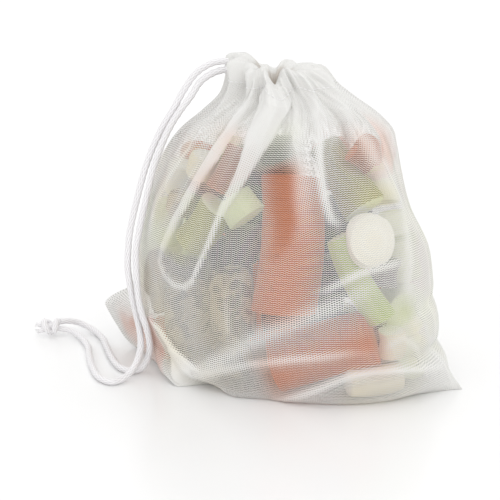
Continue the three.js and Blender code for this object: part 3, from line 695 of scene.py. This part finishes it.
def body_form(u, t):
    """The loaded bag's outside, the same form as its solid, and the way out from its axis."""
    i = np.clip(np.floor(t).astype(int), 0, TOP - 1)
    row = lambda k: LEVELS[np.clip(i + k, 0, TOP)]
    parts = between(row(-1), row(0), row(1), row(2), (t - i)[..., None])
    zl, cx, cy, a, b, turn = np.moveaxis(parts, -1, 0)
    angle = -2 * np.pi * u
    c, s = np.cos(angle), np.sin(angle)
    k = (np.abs(c) ** SQUARENESS + np.abs(s) ** SQUARENESS) ** (-1 / SQUARENESS)
    ex, ey = a * c * k, b * s * k
    ca, sa = np.cos(np.radians(turn)), np.sin(np.radians(turn))
    dx, dy = ex * ca - ey * sa, ex * sa + ey * ca
    out = np.stack([dx, dy, 0 * dx], -1) / np.hypot(dx, dy)[..., None]
    ring = (np.arctan2(dy, dx) / (2 * np.pi) % 1) * len(RIM)
    j = np.floor(ring).astype(int)
    rim = between(RIM[(j - 1) % 8], RIM[j % 8], RIM[(j + 1) % 8], RIM[(j + 2) % 8], ring - j)
    for at, wide, rise in RIM_PUFFS:
        rim = rim + rise * bell(apart(ring / len(RIM), at / 360) * 360, wide)
    up = np.clip((zl - SHOULDER_Z) / (RIM_Z - SHOULDER_Z), 0, 1)
    z = np.where(zl > SHOULDER_Z, SHOULDER_Z + up * (rim - SHOULDER_Z), zl)

    push = np.zeros_like(u)
    for at, height, wide, tall, by in LOBES:
        push += by * near(u, at, wide) * bell(zl - height, tall)
    for wide, line in PLEATS:
        at, high = along(line, np.minimum(t, TOP - 1e-6))
        push += PLEAT_DEPTH * high * bell(apart(u, at), wide)
    push -= PLEAT_MEAN * np.clip((t - 6) / 6, 0, 1)
    for tall, line in PULLS:
        at, high = along(line, u)
        push += high * bell(t - at, tall) * np.clip((t + 0.25) / 0.5, 0, 1)

    e = LEFT_EAR
    above = np.clip(1 - (np.maximum(0, zl - e["tip"]) / e["up"]) ** 1.5, 0, 1)
    below = 1 - 0.35 * (np.maximum(0, e["tip"] - zl) / e["tip"]) ** 1.3
    left = near(u, e["u"], e["wide"]) ** 1.5 * above * below
    e = RIGHT_EAR
    right = near(u, e["u"], e["wide"]) ** 1.6 * np.clip(1 - zl / e["up"], 0, 1) ** 1.6
    e = FRONT_CORNER
    front = near(u, e["u"], e["wide"]) ** 1.2 * np.clip(1 - zl / e["up"], 0, 1)
    place = np.stack([cx + dx, cy + dy, z], -1) + push[..., None] * out
    for share, e in ((left, LEFT_EAR), (right, RIGHT_EAR), (front, FRONT_CORNER)):
        place += share[..., None] * np.array((*e["reach"], 0))
    return place, out


def cloth_heights():
    """How far up the cloth each level lies, in the mean of all columns."""
    u, t = np.meshgrid(np.linspace(0, 1, 200, endpoint=False), np.linspace(0, TOP, 281), indexing="ij")
    place, _ = body_form(u, t)
    step = np.linalg.norm(np.diff(place, axis=1), axis=-1).mean(0)
    return t[0], np.concatenate([[0], np.cumsum(step)])


LEVEL_STEPS, CLOTH_UP = cloth_heights()
FULL_UP = CLOTH_UP[-1]


def beside(line, x, y):
    """How far each place on the cloth is from a line of rows that begin with u and level, and the two
    numbers that follow them in the nearest part of the line."""
    rows = np.array(line, float)
    px, py = rows[:, 0] * AROUND, np.interp(rows[:, 1], LEVEL_STEPS, CLOTH_UP)
    best, one, two = np.full_like(x, 1e9), np.zeros_like(x), np.zeros_like(x)
    for k in range(len(rows) - 1):
        ax, ay, bx, by = px[k], py[k], px[k + 1], py[k + 1]
        f = np.clip(((x - ax) * (bx - ax) + (y - ay) * (by - ay)) / ((bx - ax) ** 2 + (by - ay) ** 2), 0, 1)
        far = np.hypot(x - ax - f * (bx - ax), y - ay - f * (by - ay))
        closer = far < best
        best = np.where(closer, far, best)
        one = np.where(closer, rows[k, 2] + f * (rows[k + 1, 2] - rows[k, 2]), one)
        two = np.where(closer, rows[k, 3] + f * (rows[k + 1, 3] - rows[k, 3]), two)
    return best, one, two


def crease_pull(u, t):
    """What the laps and creases add: height above the plain form, and layers of net."""
    x, y = u * AROUND, np.interp(t, LEVEL_STEPS, CLOTH_UP)
    high, layers = np.zeros_like(u), np.zeros_like(u)
    for lap in LAPS:
        rows = np.array(sorted(lap), float)
        left, right, proud, more = (np.interp(t, rows[:, 0], rows[:, k]) for k in (1, 2, 3, 4))
        inside = np.minimum((left - u) * AROUND, (u - right) * AROUND)
        ends = np.clip((t - rows[0, 0]) / 0.25 + 0.5, 0, 1) * np.clip((rows[-1, 0] - t) / 0.15 + 0.5, 0, 1)
        share = np.clip(inside / 1.1 + 0.5, 0, 1) * ends
        share = share * share * (3 - 2 * share)
        high += share * proud
        layers += 1.3 * share * more
    for wide, line in CREASES:
        far, lift, more = beside(line, x, y)
        high += lift * np.exp(-((far / wide) ** 1.6))
        layers += 1.6 * more * np.exp(-((far / (wide * 0.8)) ** 2))
    return high, layers


def small_pleats(u, t):
    """The finer gathers near the neck, which fade out down the bag."""
    amount = np.clip((t - 8.5) / 4, 0, 1)
    wander = 0.9 * np.sin(2 * np.pi * (3 * u + 0.13)) + 0.6 * np.sin(2 * np.pi * (7 * u + 0.4))
    coarse = 0.42 * np.sin(2 * np.pi * 46 * u + 3.1 * wander)
    return amount * (coarse + 0.25 * np.sin(2 * np.pi * 83 * u + wander))


LOAD = BVHTree.FromPolygons([Vector(p) for p in np.concatenate(LOAD_POINTS)], LOAD_FACES)
# painted light: the yarn's colour takes this share of the colour of what lies behind it, less and less
# over this distance, for light that comes through the yarn from the load
SEEN_THROUGH, REACH = 0.36, 0.0065
GLOW = 0.8             # how bright that painted light is made where the load doesn't press
MOUTH_SHADE = (0.30, 0.21, 0.12)     # the dark between the gathers at the mouth


def pressed_share(u, t):
    """How clear the yarn is painted where the load presses on it."""
    x, y = u * AROUND, np.interp(t, LEVEL_STEPS, CLOTH_UP)
    pressed = np.zeros_like(u)
    for line in PRESSED_PLACES:
        far, wide, clear = beside(line, x, y)
        pressed = np.maximum(pressed, clear * np.exp(-((far / np.maximum(wide, 1)) ** 4)))
    return pressed


def yarn_tint(points, pressed):
    """How much of the load's colour each point of the net takes as painted light, and that colour:
    brightened as light through the white yarn, and the more its own the harder the load presses on the yarn."""
    share, colour = np.zeros(len(points)), np.ones((len(points), 4))
    for k, p in enumerate(points):
        at, _, face, far = LOAD.find_nearest(Vector(p), 3 * REACH)
        if at is not None:
            share[k] = (SEEN_THROUGH + pressed[k]) * math.exp(-((far / REACH) ** 2))
            true = np.array(LOAD_COLOURS[face])
            glow = true * (GLOW / max(true))
            colour[k, :3] = glow + (true - glow) * min(1.0, 2 * pressed[k])
    return share, colour


def net_piece(name, u_from, u_to, material):
    """The cloth between two seams, from the middle of the underside to the inside of the mouth."""
    us = np.linspace(u_from, u_to, 251)
    ts = np.concatenate([np.linspace(0, 4, 56, endpoint=False), np.linspace(4, TOP, 142)])
    u, t = np.meshgrid(us, ts)
    place, out = body_form(u, t)
    high, layers = crease_pull(u, t)
    seam = np.minimum(apart(u, 0), apart(u, 0.5)) * AROUND
    high = high + small_pleats(u, t) + 0.8 * np.exp(-((seam / 1.1) ** 2))
    tongue = np.clip(layers - 3, 0, 1)
    hem = np.clip((t - HEM_LEVEL) / 0.12, 0, 1) * (1 - tongue)
    high += 0.5 * hem * np.sin(np.pi * np.clip((t - HEM_LEVEL) / (TOP - HEM_LEVEL), 0, 1))
    place = place + high[..., None] * out
    layers += 1.0 + 1.4 * np.clip(1 - (seam - SEAM_HALF) / 0.6, 0, 1) + 2.6 * hem
    gathered = np.clip((t - 9.2 - 0.9 * bell(apart(u, 0.11), 0.05)) / 2.4, 0, 1)
    layers += 3.0 * gathered**1.2
    for at, level, wide, tall, more in DOUBLED:
        layers += more * bell(apart(u, at), wide) * bell(t - level, tall)
    up = np.broadcast_to(np.interp(t, LEVEL_STEPS, CLOTH_UP), u.shape)

    # the rim folds in and down to a small pinched mouth, and the foot closes over the flat underside
    mouth, rim, foot = np.array((-1, -2, 141.0)), place[-1], place[0]
    rings = [(0.92, 1.2, 0), (0.78, 1.6, 0), (0.62, 1.2, 0.06), (0.46, 0.6, 0.16), (0.32, 0, 0.3),
             (0.22, 0, 0.5), (0.14, 0, 0.9), (0, 0, 1)]
    gathers = np.sin(2 * np.pi * 11 * us + 0.8) + 0.5 * np.sin(2 * np.pi * 23 * us)
    inner = []
    for keep, lift, sink in rings:
        ring = mouth + (rim - mouth) * keep
        ring[:, 2] = rim[:, 2] + lift + (mouth[2] - rim[:, 2]) * sink + 0.5 * gathers * (1 - keep)
        inner.append(ring)
    under = np.array((9, -1, 0.0))
    outer = [under + (foot - under) * np.array((keep, keep, 0)) for keep in (0, 0.2, 0.4, 0.6, 0.8, 0.93)]
    rows = np.concatenate([np.array(outer), place, np.array(inner)])
    ups = np.concatenate([np.linspace(-46, -4, len(outer)), up[:, 0],
                          FULL_UP + 2.2 * np.arange(1, 1 + len(inner))])
    layers = np.concatenate([np.repeat(layers[:1], len(outer), 0), layers,
                             np.repeat(layers[-1:], len(inner), 0)])
    n, m = rows.shape[1], rows.shape[0]
    faces = [(r * n + j, r * n + j + 1, (r + 1) * n + j + 1, (r + 1) * n + j) for r in range(m - 1)
             for j in range(n - 1)]
    points = rows.reshape(-1, 3) * MM - MIDDLE
    pressed = np.concatenate([np.zeros((len(outer), n)), pressed_share(u, t), np.zeros((len(inner), n))])
    share, colour = yarn_tint(points, pressed.ravel())
    deep = np.arange(len(points)) // n - (m - 5)
    share[deep >= 0] = 0.25 + 0.15 * deep[deep >= 0]
    colour[deep >= 0, :3] = MOUTH_SHADE
    piece = mesh_piece(name, points, faces, material, layers=layers.ravel(), tint=share)
    behind = piece.data.attributes.new("behind", "FLOAT_COLOR", "POINT")
    behind.data.foreach_set("color", colour.astype(np.float32).ravel())
    corner = np.array([k for face in faces for k in face])
    across, upward = np.tile(us * AROUND, m)[corner], np.repeat(ups, n)[corner]
    cloth_map = piece.data.uv_layers.new(name="cloth")
    cloth_map.data.foreach_set("uv", np.stack([across, upward], 1).ravel())
    flat = np.stack([(across / AROUND - u_from) / (u_to - u_from),
                     (upward - ups[0]) / (ups[-1] - ups[0])], 1)
    bake_map = piece.data.uv_layers.new(name="OFBake")
    bake_map.data.foreach_set("uv", (0.004 + 0.992 * flat).ravel())
    return piece


def knit_group():
    """How the net covers, by the cloth's own millimetres: columns of small oval holes, each column nearly
    half a row off from the next, so that the rows run in a zigzag. Holes shrink as more layers lie over
    them."""
    group = bpy.data.node_groups.new("warp_knit", "ShaderNodeTree")
    sockets = group.interface
    for name, kind in (("Cloth", "NodeSocketVector"), ("Layers", "NodeSocketFloat"),
                       ("Column", "NodeSocketFloat"), ("Row", "NodeSocketFloat"),
                       ("Open Share", "NodeSocketFloat")):
        sockets.new_socket(name, in_out="INPUT", socket_type=kind)
    for name in ("Cover", "Relief"):
        sockets.new_socket(name, in_out="OUTPUT", socket_type="NodeSocketFloat")
    given = group.nodes.new("NodeGroupInput")
    given_back = group.nodes.new("NodeGroupOutput")
    m = lambda operation, *values: math_of(group, operation, *values)
    parts = add(group, "SeparateXYZ", {0: given.outputs["Cloth"]})
    x = m("DIVIDE", parts.outputs[0], given.outputs["Column"])
    y = m("DIVIDE", parts.outputs[1], given.outputs["Row"])
    zigzag = m("MULTIPLY", m("PINGPONG", x, 1.0), 0.48)
    dx = m("SUBTRACT", m("FRACT", m("ADD", x, 0.5)), 0.5)
    dy = m("SUBTRACT", m("FRACT", m("ADD", y, zigzag)), 0.5)
    # each layer of net that lies over another makes the holes smaller
    size = m("SQRT", m("POWER", given.outputs["Open Share"], given.outputs["Layers"]))
    ex = m("ABSOLUTE", m("DIVIDE", dx, m("MULTIPLY", size, HOLE_ACROSS)))
    ey = m("ABSOLUTE", m("DIVIDE", dy, m("MULTIPLY", size, HOLE_UP)))
    far = m("POWER", m("ADD", m("POWER", ex, 3.0), m("POWER", ey, 3.0)), 1 / 3.0)
    group.links.new(ranged(group, far, 0.9, 1.1), given_back.inputs["Cover"])
    group.links.new(ranged(group, far, 0.9, 2), given_back.inputs["Relief"])
    return group


KNIT = knit_group()
net_finish, tree, shader = new_material("polyester_net", 0.8, 0.2, 0.2)
cloth = add(tree, "UVMap", uv_map="cloth").outputs[0]
layers = value_at(tree, "layers")
knit = add(tree, "Group", node_tree=KNIT)
for name, value in (("Column", COLUMN), ("Row", ROW), ("Open Share", OPEN_SHARE)):
    knit.inputs[name].default_value = value
tree.links.new(cloth, knit.inputs["Cloth"])
tree.links.new(layers, knit.inputs["Layers"])
slant = add(tree, "LayerWeight", {"Blend": 0.35}).outputs["Facing"]
hole = math_of(tree, "SUBTRACT", 1, knit.outputs["Cover"])
facing = math_of(tree, "SUBTRACT", 1, slant)
closed = math_of(tree, "SUBTRACT", 1, math_of(tree, "MULTIPLY", hole, facing))
# to the camera the yarn is solid; of the other light it lets about a seventh through
seen = add(tree, "LightPath").outputs["Is Camera Ray"]
yarn = ranged(tree, seen, 0, 1, SHUT, 1)
tree.links.new(math_of(tree, "MULTIPLY", closed, yarn), shader.inputs["Alpha"])
wear = noise(tree, cloth, 0.05, 3)
thick = ranged(tree, layers, 1, 4)
thread = mixed(tree, thick, (0.725, 0.715, 0.69), (0.765, 0.76, 0.735))
thread = mixed(tree, wear, thread, (0.75, 0.745, 0.73))
# painted light: the load's colour laid into the yarn by the share at each point, for light that comes
# through the yarn from the load behind; deep in the mouth it is painted shade
tint = value_at(tree, "tint")
behind = add(tree, "Attribute", attribute_name="behind").outputs["Color"]
dressed(tree, shader, mixed(tree, tint, thread, behind), knit.outputs["Relief"], 0.25, 0.0003)

net_front = net_piece("net_front", 0.0, 0.5, net_finish)
net_back = net_piece("net_back", 0.5, 1.0, net_finish)
for piece in (net_front, net_back):
    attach(piece, "root")
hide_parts("net_bag")

# ---- hem stitches
# The casing is taken to be closed by one line of lockstitch in white thread, a short stitch at a time.
STITCH, STITCH_GAP, THREAD = 1.9, 0.6, 0.22


def stitched(line, out, material, name):
    """Short rounded stitches laid end to end along a line of points, on the side that out points to."""
    gone = gone_along(line)
    parts = []
    for start in np.arange(0, gone[-1] - STITCH, STITCH + STITCH_GAP):
        s = np.linspace(start, start + STITCH, 5)
        p = np.stack([np.interp(s, gone, line[:, k]) for k in range(3)], 1)
        o = np.stack([np.interp(s, gone, out[:, k]) for k in range(3)], 1)
        o /= np.linalg.norm(o, axis=1)[:, None]
        ahead = np.gradient(p, axis=0)
        side = np.cross(ahead, o)
        side /= np.linalg.norm(side, axis=1)[:, None]
        size = THREAD * np.array((0.35, 0.9, 1, 0.9, 0.35))
        a = np.arange(6) * np.pi / 3
        lift = np.array((0, 0.16, 0.22, 0.16, 0))
        ring = (p + o * (lift + 0.12)[:, None])[:, None] + size[:, None, None] * (
            np.cos(a)[None, :, None] * side[:, None] + np.sin(a)[None, :, None] * o[:, None])
        faces = round_faces(5, 6) + [tuple(range(5, -1, -1)), tuple(range(24, 30))]
        parts.append((ring.reshape(-1, 3), faces, np.ones(30)))
    points, faces, ones = joined(parts)
    return mesh_piece(name, points * MM - MIDDLE, faces, material, crown=ones)


round_u = np.linspace(0, 1, 900)
hem_t = np.full_like(round_u, HEM_LEVEL)
hem_place, hem_out = body_form(round_u, hem_t)
hem_high = crease_pull(round_u, hem_t)[0] + small_pleats(round_u, hem_t)
hem_line = hem_place + hem_high[:, None] * hem_out
hem_stitches = stitched(hem_line, hem_out, cord_finish, "hem_stitches")
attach(hem_stitches, "root")

# ---- table and light
# A smooth white table under a bright, even studio: white all round, and one broad, weak light above and
# in front.
table_finish, tree, shader = new_material("white_table", 0.22)
place = add(tree, "TexCoord").outputs["Object"]
grain = noise(tree, place, 3, 2)
tree.links.new(mixed(tree, grain, (0.89, 0.89, 0.89), (0.91, 0.91, 0.91)), shader.inputs["Base Color"])
half = 20
table = mesh_piece("table", [(-half, -half, -0.0002), (half, -half, -0.0002), (half, half, -0.0002),
                             (-half, half, -0.0002)], [(0, 1, 2, 3)], table_finish)

world = bpy.data.worlds.new("studio")
world.use_nodes = True
world.node_tree.nodes["Background"].inputs["Color"].default_value = (1, 1, 1, 1)
world.node_tree.nodes["Background"].inputs["Strength"].default_value = 1.08
scene.world = world
scene.view_settings.view_transform = "Standard"

softbox = bpy.data.objects.new("softbox", bpy.data.lights.new("softbox", "SUN"))
softbox.data.energy = 0.45
softbox.data.angle = math.radians(45)
softbox.rotation_euler = Vector((0.3, -1.0, 0.9)).to_track_quat("Z", "Y").to_euler()
scene.collection.objects.link(softbox)
